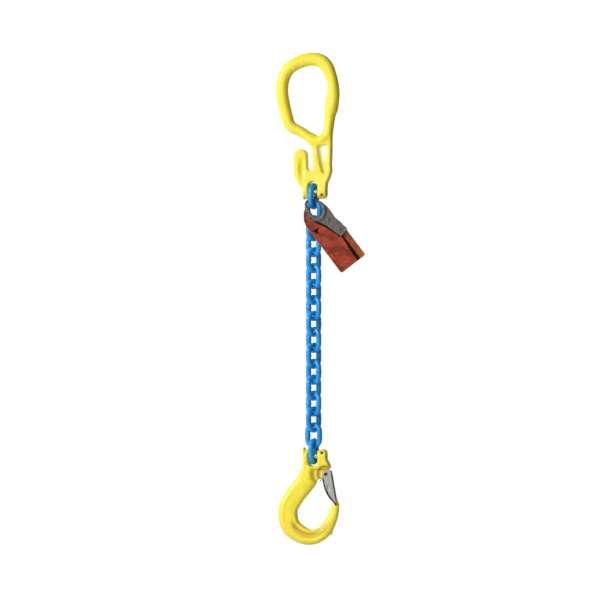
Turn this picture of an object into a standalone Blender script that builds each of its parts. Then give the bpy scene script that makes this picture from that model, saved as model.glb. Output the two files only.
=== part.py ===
"""One-leg chain sling: a forged eye with a shortening grab and a clevis, seventeen links of
8 mm short-link chain, a clevis sling hook with a spring latch, and an identity tag.

Sizes are in millimetres and become metres where the meshes are made. The sling hangs along
-Z from the origin, which is the lifting point at the top of the eye. Its front faces -Y.
"""

import math

import bmesh
import bpy
from mathutils import Matrix, Vector

MM = 0.001

# Chain
WIRE_D = 8.0  # bar that the links are bent from
PITCH = 3 * WIRE_D  # inside length of a link: three bar diameters, as lifting chain has
LINKS = 17
LINK_PLAY = 2.7  # room on each side of the next link's bar in a link
CONTACT_GAP = 0.3  # left between pieces that bear on each other
CHAIN_X = 6.8  # the chain hangs this far to the right of the lifting point
LAY = 35.0  # how far the middle links are turned from edge-on, in degrees
TOP_LAY = (14.0, 25.0)  # the same for the first links, which the top clevis holds
BOTTOM_LAY = (24.0, 12.0)  # and for the last ones

# Clevises, both fittings
CLEVIS_PLAY = 2.7  # room on each side of a link in the slot
THIN_EAR = 9.0
LOCK_EAR = 13.5  # the ear that holds the lock pin
EAR_RADIUS = 11.0  # half the depth of the ears, front to back
EAR_CHAMFER = 3.0
EAR_TAPER = (4.0, 22.0)  # where the ears start to thin into the plate, and where they end, from the pin
LOAD_PIN_D = 10.0
LOCK_PIN_D = 3.5
LOCK_PIN_WALL = 0.8
LOCK_INSET = 7.5  # from the lock ear's inner face to the lock pin
SLOT_ROOM = 2.0  # past the end of a link in the slot
NECK_D = 6.0  # waist of the load pin, which the lock pin crosses
BORE_GAP = 0.3

# Eye and grab
GRAB_REACH = 189.8  # lifting point to load pin
EYE_BAR = 18.0
EYE_FOOT_Z = -115.0  # where the spine leaves the underside of the eye
EYE_SQUARE = 2.3  # 2 is an ellipse; more is squarer
GRAB_HALF = 8.6  # half the thickness of the forged plate
POCKET_DEPTH = 5.5  # hollow in each face of the spine
SEAT_SHAVE = 0.35  # depth of the small flats where loads bear

# Sling hook
HOOK_REACH = 110.0  # load pin to the inside of the bowl
HOOK_SQUARE = 2.8
SHANK_HALF = 9.6  # half the thickness of the shank below the ears
BOSS_HALF = 5.2  # half the thickness of the boss that carries the latch
BOSS_BACK = 0.6  # the boss is thinner behind, where the spring sits
LATCH_PIN_D = 4.5
LATCH_SHEET = 1.8
LATCH_GAP = 0.6  # between the boss and each cheek of the latch
LATCH_POCKET = 20.0  # radius of the hollows that the cheeks swing into
SPRING_WIRE_D = 1.2
SPRING_TURNS = 2  # whole turns, besides the part turn between the legs
SPRING_START = 150  # where the coil leaves the shank's leg, in degrees from +X towards +Z
SPRING_END = -23  # and where it meets the latch's leg
SPRING_PITCH = 1.35

# Identity tag
TAG_RING_D = 3.4
LEAF_T = 1.6
LEAF_WIDTH = 45.7  # of the rear leaf; the front one is narrower by LEAF_STEP
LEAF_END = 95.0  # from the middle of the tag's eye to the far end of the leaves
LEAF_EDGE = 17.9  # from the same middle across to the rear leaf's right edge
LEAF_STEP = 9.5  # how much of the rear leaf shows beside the front one
CLIP_SHEET = 1.5
CLIP_LENGTH = 51.5
RIVET_D = 3.0
TAG_TILT = 37.3  # the leaves' length from straight down, in degrees
CLIP_TILT = 51.5  # the clip's length from straight down, in degrees

# Mesh fineness
LINK_SIDES = 8
LINK_BEND_STEPS = 6
FORGED_SIDES = 12
PIN_SIDES = 20

INNER_LENGTH = PITCH + CONTACT_GAP
INNER_WIDTH = WIRE_D + 2 * LINK_PLAY
SLOT = WIRE_D + 2 * CLEVIS_PLAY
SLOT_LOW_X = CHAIN_X - SLOT / 2
SLOT_HIGH_X = CHAIN_X + SLOT / 2
PIN_TO_LINK = INNER_LENGTH / 2 - CONTACT_GAP - LOAD_PIN_D / 2
TOP_PIN_Z = -GRAB_REACH
FIRST_LINK_Z = TOP_PIN_Z - PIN_TO_LINK
LAST_LINK_Z = FIRST_LINK_Z - (LINKS - 1) * PITCH
HOOK_PIN_Z = LAST_LINK_Z - PIN_TO_LINK
SLOT_DEPTH = LOAD_PIN_D / 2 + CONTACT_GAP + WIRE_D + SLOT_ROOM
LOCK_OFFSET = NECK_D / 2 + LOCK_PIN_D / 2 + CONTACT_GAP
LOCK_X = SLOT_HIGH_X + LOCK_INSET
BOWL_Z = HOOK_PIN_Z - HOOK_REACH
CHAIN_FRONT = -(INNER_WIDTH + WIRE_D) / 2 * math.cos(math.radians(LAY)) - WIRE_D / 2
REAR_LEAF_Y = CHAIN_FRONT - CONTACT_GAP
FRONT_LEAF_Y = REAR_LEAF_Y - LEAF_T - CONTACT_GAP
CLIP_Y = FRONT_LEAF_Y - LEAF_T - CONTACT_GAP
TAG_SCALE = WIRE_D / 8.0  # the tag's ring and leaves suit the chain
TAG_EYE = (CHAIN_X + 9.4 * TAG_SCALE, FIRST_LINK_Z - 23.4 * TAG_SCALE)


def clear_scene():
    for obj in list(bpy.data.objects):
        bpy.data.objects.remove(obj)


def material(name, colour, roughness, metallic=0.0):
    made = bpy.data.materials.new(name)
    made.use_nodes = True
    shader = made.node_tree.nodes["Principled BSDF"]
    shader.inputs["Base Color"].default_value = (*colour, 1.0)
    shader.inputs["Roughness"].default_value = roughness
    shader.inputs["Metallic"].default_value = metallic
    return made


def object_from(name, bm, look):
    """An object with this mesh, in metres, facing out and shaded smooth."""
    bmesh.ops.scale(bm, vec=(MM, MM, MM), verts=bm.verts)
    bmesh.ops.recalc_face_normals(bm, faces=bm.faces)
    mesh = bpy.data.meshes.new(name)
    bm.to_mesh(mesh)
    bm.free()
    mesh.materials.append(look)
    mesh.shade_smooth()
    mesh.set_sharp_from_angle(angle=math.radians(40))
    obj = bpy.data.objects.new(name, mesh)
    bpy.context.scene.collection.objects.link(obj)
    return obj


def helper(obj):
    """Keeps a cutter, or a solid that another one takes in, out of the part."""
    obj.hide_render = True
    obj.display_type = "WIRE"
    return obj


def combine(obj, other, operation):
    step = obj.modifiers.new(f"{operation.lower()} {other.name}", "BOOLEAN")
    step.operation = operation
    step.object = helper(other)


def put_origin(obj, point):
    """Moves an object's origin to a point, in millimetres, and leaves its shape where it is."""
    place = Vector(point) * MM
    obj.data.transform(Matrix.Translation(-place))
    obj.location = place


def skin(bm, rings, closed):
    """Faces between rings of points, with a cap on each end if the run isn't closed."""
    loops = [[bm.verts.new(p) for p in ring] for ring in rings]
    pairs = list(zip(loops, loops[1:]))
    if closed:
        pairs.append((loops[-1], loops[0]))
    for a, b in pairs:
        for i in range(len(a)):
            j = (i + 1) % len(a)
            bm.faces.new((a[i], a[j], b[j], b[i]))
    if not closed:
        bm.faces.new(loops[0])
        bm.faces.new(loops[-1])


def smooth_path(points, steps, closed):
    """Points on a smooth curve through the given ones, each a tuple of any length."""
    count = len(points)
    out = []
    for i in range(count if closed else count - 1):
        if closed:
            near = [points[(i + k) % count] for k in (-1, 0, 1, 2)]
        else:
            near = [points[min(max(i + k, 0), count - 1)] for k in (-1, 0, 1, 2)]
        for s in range(steps):
            t = s / steps
            out.append(tuple(spline_value(near, axis, t) for axis in range(len(points[0]))))
    if not closed:
        out.append(points[-1])
    return out


def spline_value(near, axis, t):
    a, b, c, d = (p[axis] for p in near)
    return 0.5 * (2 * b + (c - a) * t + (2 * a - 5 * b + 4 * c - d) * t**2 + (3 * b - a - 3 * c + d) * t**3)


def directions(points, closed):
    """The direction of travel at each point."""
    count = len(points)
    out = []
    for i in range(count):
        ahead = points[(i + 1) % count] if closed or i + 1 < count else points[i]
        behind = points[i - 1] if closed or i else points[i]
        out.append((Vector(ahead) - Vector(behind)).normalized())
    return out


def squircle(sides, square):
    """Unit section points with a flat, not a corner, on each main side."""
    out = []
    for i in range(sides):
        angle = 2 * math.pi * (i + 0.5) / sides
        c, s = math.cos(angle), math.sin(angle)
        out.append((math.copysign(abs(c) ** (2 / square), c), math.copysign(abs(s) ** (2 / square), s)))
    return out


def forged_bar(name, stations, square, steps, closed, look):
    """A bar along stations (x, z, half width in the XZ plane, half depth along Y)."""
    path = smooth_path(stations, steps, closed)
    centres = [(x, 0.0, z) for x, z, _, _ in path]
    section = squircle(FORGED_SIDES, square)
    rings = []
    for centre, ahead, (_, _, wide, deep) in zip(centres, directions(centres, closed), path):
        across = Vector((ahead.z, 0.0, -ahead.x))
        rings.append([Vector(centre) + across * wide * u + Vector((0, deep * v, 0)) for u, v in section])
    bm = bmesh.new()
    skin(bm, rings, closed)
    return object_from(name, bm, look)


def wire(name, points, diameter, sides, closed, look):
    """A round wire through points in space, each section square to the run."""
    aims = directions(points, closed)
    rings = []
    side = aims[0].orthogonal().normalized()
    for point, ahead in zip(points, aims):
        side = (side - ahead * side.dot(ahead)).normalized()
        up = ahead.cross(side)
        turn = [2 * math.pi * k / sides for k in range(sides)]
        rings.append([Vector(point) + (side * math.cos(a) + up * math.sin(a)) * diameter / 2 for a in turn])
    bm = bmesh.new()
    skin(bm, rings, closed)
    return object_from(name, bm, look)


def plate(name, outline, low_y, high_y, look):
    """A flat piece with this outline of (x, z) points, from low_y to high_y."""
    bm = bmesh.new()
    skin(bm, [[(x, y, z) for x, z in outline] for y in (low_y, high_y)], False)
    return object_from(name, bm, look)


def block(name, low, high, look):
    x0, y0, z0 = low
    x1, y1, z1 = high
    return plate(name, [(x0, z0), (x1, z0), (x1, z1), (x0, z1)], y0, y1, look)


def turned(name, centre, axis, profile, look):
    """A turned piece along "X" or "Y" through centre. Its profile is (place along, radius)."""
    rings = []
    for along, radius in profile:
        ring = []
        for k in range(PIN_SIDES):
            angle = 2 * math.pi * (k + 0.5) / PIN_SIDES
            c, s = radius * math.cos(angle), radius * math.sin(angle)
            ring.append(Vector(centre) + Vector((along, c, s) if axis == "X" else (c, along, s)))
        rings.append(ring)
    bm = bmesh.new()
    skin(bm, rings, False)
    return object_from(name, bm, look)


def drill(obj, centre, axis, diameter, reach, look):
    cutter = turned(f"{obj.name}_drill_{axis}_{len(obj.modifiers)}", centre, axis,
                    [(-reach, diameter / 2), (reach, diameter / 2)], look)
    combine(obj, cutter, "DIFFERENCE")


def arc(centre, radius, start, end, steps):
    """Points on an arc in the XZ plane, angles in degrees from +X towards +Z."""
    out = []
    for k in range(steps + 1):
        angle = math.radians(start + (end - start) * k / steps)
        out.append((centre[0] + radius * math.cos(angle), centre[1] + radius * math.sin(angle)))
    return out


def link_lay(number):
    """How far link number (from 1) is turned from edge-on. Odd and even links cross."""
    from_end = LINKS - number
    if number <= len(TOP_LAY):
        lay = TOP_LAY[number - 1]
    elif from_end < len(BOTTOM_LAY):
        lay = BOTTOM_LAY[len(BOTTOM_LAY) - 1 - from_end]
    else:
        lay = LAY
    return math.radians(lay + (0 if number % 2 else 90))


def chain_link(number, look):
    """One link, in its own upright plane, with its origin where it hangs from the one above."""
    lay = link_lay(number)
    front = Vector((-math.sin(lay), -math.cos(lay), 0.0))
    centre = Vector((CHAIN_X, 0.0, FIRST_LINK_Z - (number - 1) * PITCH))
    bend = (INNER_WIDTH + WIRE_D) / 2
    corner = bend / math.cos(math.pi / LINK_BEND_STEPS / 2)
    straight = (INNER_LENGTH - INNER_WIDTH) / 2
    points = []
    for half in (1, -1):
        for k in range(LINK_BEND_STEPS):
            angle = math.pi * (k + 0.5) / LINK_BEND_STEPS
            across = half * corner * math.cos(angle)
            along = half * (straight + corner * math.sin(angle))
            points.append(centre + front * across + Vector((0, 0, along)))
    obj = wire(f"chain_link_{number:02d}", points, WIRE_D, LINK_SIDES, True, look)
    above = PIN_TO_LINK if number == 1 else INNER_LENGTH / 2 - CONTACT_GAP - WIRE_D / 2
    put_origin(obj, centre + Vector((0, 0, above)))


def clevis_pins(prefix, pin_z, chain_side, outer_low, outer_high, steel):
    """The load pin, with a waist, and the slotted lock pin that crosses it there."""
    radius = LOAD_PIN_D / 2
    neck = LOCK_PIN_D / 2 + CONTACT_GAP
    end = 0.8
    low, high = outer_low + end - CHAIN_X, outer_high - end - CHAIN_X
    at = LOCK_X - CHAIN_X
    profile = [(low, radius - end), (low + end, radius), (at - neck - 1, radius), (at - neck, NECK_D / 2),
               (at + neck, NECK_D / 2), (at + neck + 1, radius), (high - end, radius), (high, radius - end)]
    turned(f"{prefix}_load_pin", (CHAIN_X, 0, pin_z), "X", profile, steel)
    lock_z = pin_z + chain_side * LOCK_OFFSET
    outer = LOCK_PIN_D / 2
    inner = outer - LOCK_PIN_WALL
    slit = 25
    outline = arc((LOCK_X, lock_z), outer, slit, 360 - slit, 14)
    outline += arc((LOCK_X, lock_z), inner, 360 - slit, slit, 14)
    plate(f"{prefix}_lock_pin", outline, -EAR_RADIUS + 1, EAR_RADIUS - 1, steel)


def cut_clevis(obj, pin_z, chain_side, look):
    """The slot, the load pin's bore and the lock pin's hole. The chain leaves on chain_side."""
    slot_end_z = pin_z - chain_side * SLOT_DEPTH
    beyond = pin_z + chain_side * 3 * EAR_RADIUS
    low_z, high_z = sorted((slot_end_z + chain_side * SLOT / 2, beyond))
    slot = block(f"{obj.name}_slot", (SLOT_LOW_X, -3 * EAR_RADIUS, low_z),
                 (SLOT_HIGH_X, 3 * EAR_RADIUS, high_z), look)
    combine(obj, slot, "DIFFERENCE")
    root = turned(f"{obj.name}_slot_root", (CHAIN_X, 0, slot_end_z + chain_side * SLOT / 2), "Y",
                  [(-3 * EAR_RADIUS, SLOT / 2), (3 * EAR_RADIUS, SLOT / 2)], look)
    combine(obj, root, "DIFFERENCE")
    for front in (1, -1):
        flare_slot(obj, front, low_z, high_z, look)
    drill(obj, (CHAIN_X, 0, pin_z), "X", LOAD_PIN_D + 2 * BORE_GAP, 60, look)
    drill(obj, (LOCK_X, 0, pin_z + chain_side * LOCK_OFFSET), "Y", LOCK_PIN_D + 2 * BORE_GAP, 40, look)


def flare_slot(obj, front, low_z, high_z, look):
    """Widens the slot towards one face, so that a link can turn a little in it."""
    bm = bmesh.new()
    inside, outside = front * (EAR_RADIUS - EAR_CHAMFER), front * (EAR_RADIUS + EAR_CHAMFER)
    narrow = SLOT / 2 - 0.01
    wide = narrow + 2 * EAR_CHAMFER
    corners = [(-narrow, inside), (narrow, inside), (wide, outside), (-wide, outside)]
    skin(bm, [[(CHAIN_X + x, y, z) for x, y in corners] for z in (low_z, high_z)], False)
    side = "back" if front > 0 else "front"
    combine(obj, object_from(f"{obj.name}_flare_{side}", bm, look), "DIFFERENCE")


def depth_profile(name, pin_z, chain_side, far_z, far_half, look):
    """What a fitting fills front to back: ears round about the load pin, then a taper to the plate."""
    side = -chain_side
    ears = [(y, pin_z - side * z) for y, z in arc((0, 0), EAR_RADIUS, 180, 0, 12)]
    taper_z = pin_z + side * EAR_TAPER[0]
    plate_z = pin_z + side * EAR_TAPER[1]
    outline = ears + [(EAR_RADIUS, taper_z), (far_half, plate_z), (far_half, far_z),
                      (-far_half, far_z), (-far_half, plate_z), (-EAR_RADIUS, taper_z)]
    bm = bmesh.new()
    skin(bm, [[(x, y, z) for y, z in outline] for x in (-80, 90)], False)
    return object_from(name, bm, look)


def eye_stations():
    """The eye's bar: centre, half width and half depth, clockwise from the top."""
    half = EYE_BAR / 2
    return [
        (0.0, 10.0, 10.0, half), (24.0, 3.0, 9.5, half), (36.0, -26.0, 8.4, half), (35.2, -52.0, 9.2, half),
        (31.0, -80.0, 7.6, half), (27.5, -101.0, 7.2, half), (16.0, -112.0, 7.4, half),
        (2.0, -107.5, 7.4, half), (-14.0, -98.5, 7.5, half), (-27.5, -91.0, 8.2, half),
        (-34.0, -76.0, 8.6, half), (-41.5, -34.0, 9.0, half), (-31.0, -4.0, 9.6, half),
    ]


def grab_outline():
    """The forged plate below the eye: throat, grab tip, spine and the clevis ears."""
    left, right = SLOT_LOW_X - THIN_EAR, SLOT_HIGH_X + LOCK_EAR
    low = TOP_PIN_Z - EAR_RADIUS - 1.5
    tip = (-12.5, TOP_PIN_Z + 54.5)
    throat = (2.4, TOP_PIN_Z + 36.0)
    return [
        (35.0, EYE_FOOT_Z + 11), (34.4, TOP_PIN_Z + 55), (33.8, TOP_PIN_Z + 40), (34.8, TOP_PIN_Z + 32),
        (32.0, TOP_PIN_Z + 22), (right + 0.8, TOP_PIN_Z + 13), (right, TOP_PIN_Z + 4), (right, low + 5),
        (right - 2, low + 1), (right - 6, low), (left + 5, low), (left + 1.5, low + 1.5), (left, low + 5),
        (left, TOP_PIN_Z + 6), (-17.5, TOP_PIN_Z + 14), (-22.4, TOP_PIN_Z + 26),
        *arc(tip, 10.0, 180, 0, 6),
        *arc(throat, 4.7, 180, 360, 6),
        (6.8, EYE_FOOT_Z - 13), (4.0, EYE_FOOT_Z - 6), (-1.0, EYE_FOOT_Z), (-1.0, EYE_FOOT_Z + 5),
        (12.0, EYE_FOOT_Z + 5), (24.0, EYE_FOOT_Z + 11),
    ]


def pocket_outline():
    """The hollow between the spine's two ribs, wide at the top."""
    return [(14.6, EYE_FOOT_Z - 6), (27.4, EYE_FOOT_Z - 5), (28.2, TOP_PIN_Z + 52), (27.6, TOP_PIN_Z + 34),
            (24.0, TOP_PIN_Z + 27), (20.4, TOP_PIN_Z + 31), (16.0, TOP_PIN_Z + 52)]


def build_master_grab(yellow):
    body = plate("master_grab", grab_outline(), -2 * EAR_RADIUS, 2 * EAR_RADIUS, yellow)
    combine(body, depth_profile("grab_depth", TOP_PIN_Z, -1, 0, GRAB_HALF, yellow), "INTERSECT")
    combine(body, forged_bar("eye_bar", eye_stations(), EYE_SQUARE, 3, True, yellow), "UNION")
    for front in (1, -1):
        low_y, high_y = sorted((front * (GRAB_HALF - POCKET_DEPTH), front * 2 * GRAB_HALF))
        side = "back" if front > 0 else "front"
        combine(body, plate(f"pocket_{side}", pocket_outline(), low_y, high_y, yellow), "DIFFERENCE")
    cut_clevis(body, TOP_PIN_Z, -1, yellow)
    seat = block("eye_seat_cutter", (-5, -5, -9), (5, 5, SEAT_SHAVE), yellow)
    combine(body, seat, "DIFFERENCE")
    clevis_pins("top", TOP_PIN_Z, -1, SLOT_LOW_X - THIN_EAR, SLOT_HIGH_X + LOCK_EAR, STEEL)


def hook_stations():
    """The hook's bar from shank to tip: centre from the load pin, half width, half depth."""
    bowl = -HOOK_REACH
    rows = [
        (-3.0, -27.0, 15.5, 10.5), (-15.0, -43.5, 14.6, 10.2), (-29.0, -61.5, 14.4, 10.0),
        (-39.0, bowl + 28.0, 14.3, 10.2), (-35.0, bowl + 4.5, 14.1, 10.4), (-18.0, bowl - 9.0, 13.0, 10.4),
        (0.0, bowl - 11.6, 11.6, 10.0), (17.0, bowl - 2.5, 10.0, 9.0), (28.0, bowl + 16.0, 8.2, 7.2),
        (32.0, -80.0, 6.6, 5.2), (33.8, -72.0, 5.2, 4.0), (34.3, -68.8, 3.0, 2.4),
    ]
    return [(CHAIN_X + x, HOOK_PIN_Z + z, wide, deep) for x, z, wide, deep in rows]


def hook_head_outline():
    left, right = SLOT_LOW_X - THIN_EAR, SLOT_HIGH_X + LOCK_EAR
    top = HOOK_PIN_Z + EAR_RADIUS + 2
    return [
        (left, top - 4), (left + 2, top - 0.8), (left + 5, top + 1), (SLOT_LOW_X - 0.5, top - 1),
        (SLOT_HIGH_X + 1, top - 4), (SLOT_HIGH_X + 4, top - 1), (right - 3.5, top - 1.5), (right, top - 6),
        (right, HOOK_PIN_Z - 5), (right + 3, HOOK_PIN_Z - 10), (right + 5.5, HOOK_PIN_Z - 16),
        (right + 4.5, HOOK_PIN_Z - 20), (right - 6.5, HOOK_PIN_Z - 20.5), (right - 7.6, HOOK_PIN_Z - 29),
        (right - 11, HOOK_PIN_Z - 37), (CHAIN_X + 4, HOOK_PIN_Z - 40), (CHAIN_X - 10, HOOK_PIN_Z - 37),
        (left - 3, HOOK_PIN_Z - 25), (left + 0.4, HOOK_PIN_Z - 17),
    ]


def latch_axis():
    return (SLOT_HIGH_X + LOCK_EAR - 1.0, HOOK_PIN_Z - 27.0)


def about(point, offsets):
    return [(point[0] + x, point[1] + z) for x, z in offsets]


def boss_outline():
    axis = latch_axis()
    return about(axis, [(-18, -5), (-18, 9), (5, 9)]) + arc(axis, 6.4, 60, -120, 8) + about(axis, [(-11, -7.5)])


def latch_pocket_outline():
    axis = latch_axis()
    return about(axis, [(12, 6.9)]) + arc(axis, LATCH_POCKET, 160, 285, 8) + about(axis, [(12, -19)])


def cheek_outline():
    """One side of the latch, from the pivot's axis."""
    return [(-5.5, 3.4), (-4, 5), (6.5, 5), (7.9, 4), (14.8, -36), (17.3, -46.2), (15.8, -47.8),
            (11.5, -42.4), (4.4, -34.1), (-1.3, -22.6), (-4.7, -9.6)]


def web_outline():
    """The strip between the cheeks, along their inner edge."""
    near = [(-3.0, -16.5), (-1.3, -22.6), (1.2, -28.6), (4.4, -34.1), (8.6, -39.2)]
    return near + [(x + LATCH_SHEET * 0.85, z + LATCH_SHEET * 0.5) for x, z in reversed(near)]


def build_latch(steel):
    axis = latch_axis()
    inner = BOSS_HALF + LATCH_GAP
    outer = inner + LATCH_SHEET
    body = plate("latch", about(axis, web_outline()), -outer, outer, steel)
    for side, (low, high) in {"front": (-outer, -inner), "back": (inner, outer)}.items():
        combine(body, plate(f"cheek_{side}", about(axis, cheek_outline()), low, high, steel), "UNION")
    drill(body, (axis[0], 0, axis[1]), "Y", LATCH_PIN_D + 2 * BORE_GAP, 30, steel)
    put_origin(body, (axis[0], 0, axis[1]))
    head = outer + CONTACT_GAP
    profile = [(-head - 1.2, 3.0), (-head - 0.6, 3.6), (-head, 3.6), (-head, LATCH_PIN_D / 2),
               (head, LATCH_PIN_D / 2), (head, 3.6), (head + 0.6, 3.6), (head + 1.2, 3.0)]
    turned("latch_pin", (axis[0], 0, axis[1]), "Y", profile, steel)


def build_latch_spring(steel):
    """A torsion spring about the pivot: one leg on the shank, one on the latch's web."""
    axis = latch_axis()
    radius = LATCH_PIN_D / 2 + BORE_GAP + SPRING_WIRE_D / 2
    first_y = BOSS_BACK + CONTACT_GAP + SPRING_WIRE_D / 2
    turned_by = SPRING_END - SPRING_START - 360 * SPRING_TURNS
    last_y = first_y - SPRING_PITCH * turned_by / 360
    points = [(-10.5, first_y, -12.9), (-6.8, first_y, -5.7)]
    steps = 30
    for k in range(steps + 1):
        angle = math.radians(SPRING_START + turned_by * k / steps)
        y = first_y + (last_y - first_y) * k / steps
        points.append((radius * math.cos(angle), y, radius * math.sin(angle)))
    points.append((-4.6, last_y, -17.8))
    wire("latch_spring", [(axis[0] + x, y, axis[1] + z) for x, y, z in points], SPRING_WIRE_D, 6, False, steel)


def build_sling_hook(yellow):
    body = plate("sling_hook", hook_head_outline(), -2 * EAR_RADIUS, 2 * EAR_RADIUS, yellow)
    combine(body, depth_profile("hook_depth", HOOK_PIN_Z, 1, HOOK_PIN_Z - 60, SHANK_HALF, yellow), "INTERSECT")
    combine(body, forged_bar("hook_bar", hook_stations(), HOOK_SQUARE, 3, False, yellow), "UNION")
    for front in (1, -1):
        low_y, high_y = sorted((front * BOSS_HALF, front * 2 * EAR_RADIUS))
        side = "back" if front > 0 else "front"
        combine(body, plate(f"latch_pocket_{side}", latch_pocket_outline(), low_y, high_y, yellow), "DIFFERENCE")
    combine(body, plate("latch_boss", boss_outline(), -BOSS_HALF, BOSS_BACK, yellow), "UNION")
    cut_clevis(body, HOOK_PIN_Z, 1, yellow)
    x, z = latch_axis()
    drill(body, (x, 0, z), "Y", LATCH_PIN_D + 2 * BORE_GAP, 30, yellow)
    seat = block("bowl_seat_cutter", (CHAIN_X - 5, -5, BOWL_Z - SEAT_SHAVE), (CHAIN_X + 5, 5, BOWL_Z + 9), yellow)
    combine(body, seat, "DIFFERENCE")
    put_origin(body, (CHAIN_X, 0, HOOK_PIN_Z))
    clevis_pins("hook", HOOK_PIN_Z, 1, SLOT_LOW_X - THIN_EAR, SLOT_HIGH_X + LOCK_EAR, STEEL)


def turned_about(point, tilt, offsets):
    """(x, z) of the tag's points, given as (distance along, distance across) from a tilted line."""
    angle = math.radians(tilt)
    along, across = (math.sin(angle), -math.cos(angle)), (math.cos(angle), math.sin(angle))
    scaled = [(a * TAG_SCALE, b * TAG_SCALE) for a, b in offsets]
    return [(point[0] + a * along[0] + b * across[0], point[1] + a * along[1] + b * across[1]) for a, b in scaled]


def tag_ring_points():
    """From behind the first link's front bar, round its left side, forward over the leaves and back."""
    front = (FRONT_LEAF_Y - LEAF_T - CONTACT_GAP - TAG_RING_D / 2) / TAG_SCALE
    offsets = [
        (0.5, -4.4, -1.9), (-2.4, -4.3, -2.6), (-6.2, -5.4, -5.7), (-9.0, -8.2, -9.8), (-8.6, -10.0, -15.2),
        (-5.8, -11.0, -21.0), (-2.6, -14.2, -26.4), (1.2, -17.4, -30.6), (5.4, front, -33.8),
        (10.4, front, -34.8), (16.2, front, -31.8), (19.4, front, -22.8), (17.0, front, -15.2),
        (12.4, -13.8, -10.2), (7.0, -8.8, -7.0), (3.4, -6.0, -4.3),
    ]
    points = [(CHAIN_X + x * TAG_SCALE, y * TAG_SCALE, FIRST_LINK_Z + z * TAG_SCALE) for x, y, z in offsets]
    return smooth_path(points, 3, True)


def clip_outline():
    hole = [(9.3 * math.cos(math.radians(k)), 9.3 * math.sin(math.radians(k))) for k in range(-48, 49, 16)]
    end = CLIP_LENGTH
    return [(12, 12.5), (22, 10.4), (end - 1.5, 8.2), (end, 6.7), (end, -5.9), (end - 1.5, -7.4),
            (22, -8.6), (10, -11.2), *hole]


def leaf_outline(right):
    """The front leaf is narrower than the rear one. The notch at its top lets the link through."""
    left = LEAF_EDGE - LEAF_WIDTH
    notch = [(-1.9 + 11.5 * math.cos(math.radians(k)), -5.7 + 11.5 * math.sin(math.radians(k)))
             for k in range(60, -151, -15)]
    return [(LEAF_END, left + 1.5), (LEAF_END, right - 1.5), (LEAF_END - 1.5, right), (right + 16, right),
            (12, 12.4), (4, 11.6), (-0.5, 10.5), (-0.5, 8.0), (2.2, 6.4),
            *notch, (-14.5, -8.2), (-16.3, -9.2), (-14.5, -15.5), (-9.5, -20.5), (-2.5, -25.2),
            (6, left), (LEAF_END - 1.5, left)]


def build_tag(steel, red, orange):
    clip = plate("tag_clip", turned_about(TAG_EYE, CLIP_TILT, clip_outline()), CLIP_Y - CLIP_SHEET, CLIP_Y, steel)
    combine(clip, wire("tag_ring_wire", tag_ring_points(), TAG_RING_D, 8, True, steel), "UNION")
    front = plate("tag_front_leaf", turned_about(TAG_EYE, TAG_TILT, leaf_outline(LEAF_EDGE - LEAF_STEP)),
                  FRONT_LEAF_Y - LEAF_T, FRONT_LEAF_Y, red)
    rear = plate("tag_rear_leaf", turned_about(TAG_EYE, TAG_TILT, leaf_outline(LEAF_EDGE)),
                 REAR_LEAF_Y - LEAF_T, REAR_LEAF_Y, orange)
    low, high = CLIP_Y - CLIP_SHEET - CONTACT_GAP, REAR_LEAF_Y + CONTACT_GAP
    profile = [(low - 1, RIVET_D / 2), (low - 0.5, RIVET_D), (low, RIVET_D), (low, RIVET_D / 2),
               (high, RIVET_D / 2), (high, RIVET_D), (high + 0.5, RIVET_D), (high + 1, RIVET_D / 2)]
    for name, along in {"tag_rivet_upper": 20, "tag_rivet_lower": 42}.items():
        (x, z), = turned_about(TAG_EYE, CLIP_TILT, [(along, 0)])
        turned(name, (x, 0, z), "Y", profile, steel)
        for pierced in (clip, front, rear):
            drill(pierced, (x, 0, z), "Y", RIVET_D + 2 * BORE_GAP, 60, steel)


def build():
    build_master_grab(YELLOW)
    for number in range(1, LINKS + 1):
        chain_link(number, BLUE)
    build_sling_hook(YELLOW)
    build_latch(STEEL)
    build_latch_spring(STEEL)
    build_tag(STEEL, RED, ORANGE)


clear_scene()
YELLOW = material("yellow paint", (0.86, 0.75, 0.06), 0.4)
BLUE = material("blue paint", (0.02, 0.24, 0.68), 0.35)
STEEL = material("zinc plated steel", (0.42, 0.42, 0.42), 0.35, 1.0)
RED = material("red plastic", (0.56, 0.11, 0.05), 0.45)
ORANGE = material("orange plastic", (0.55, 0.2, 0.06), 0.45)
build()
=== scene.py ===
"""Looks of the one-leg chain sling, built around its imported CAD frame.

Shapes are worked out in millimetres, in the CAD model's frame (origin at the top of the eye's
inside, +Z up, front towards -Y), and become metres where a mesh is made.
"""

import math

import bpy
import numpy as np
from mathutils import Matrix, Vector

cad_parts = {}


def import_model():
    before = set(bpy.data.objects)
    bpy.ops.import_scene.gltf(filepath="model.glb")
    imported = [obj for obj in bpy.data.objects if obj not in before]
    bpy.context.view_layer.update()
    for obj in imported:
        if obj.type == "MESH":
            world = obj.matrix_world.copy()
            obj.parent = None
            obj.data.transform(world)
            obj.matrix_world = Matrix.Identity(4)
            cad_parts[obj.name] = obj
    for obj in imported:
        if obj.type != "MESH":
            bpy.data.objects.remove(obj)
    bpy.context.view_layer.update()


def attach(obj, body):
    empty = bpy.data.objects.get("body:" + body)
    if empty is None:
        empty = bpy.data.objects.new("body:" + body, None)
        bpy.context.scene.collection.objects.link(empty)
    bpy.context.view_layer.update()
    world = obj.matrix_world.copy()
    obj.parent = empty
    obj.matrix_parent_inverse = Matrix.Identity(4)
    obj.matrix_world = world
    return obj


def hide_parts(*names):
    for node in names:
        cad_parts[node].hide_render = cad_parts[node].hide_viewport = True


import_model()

MM = 0.001

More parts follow.
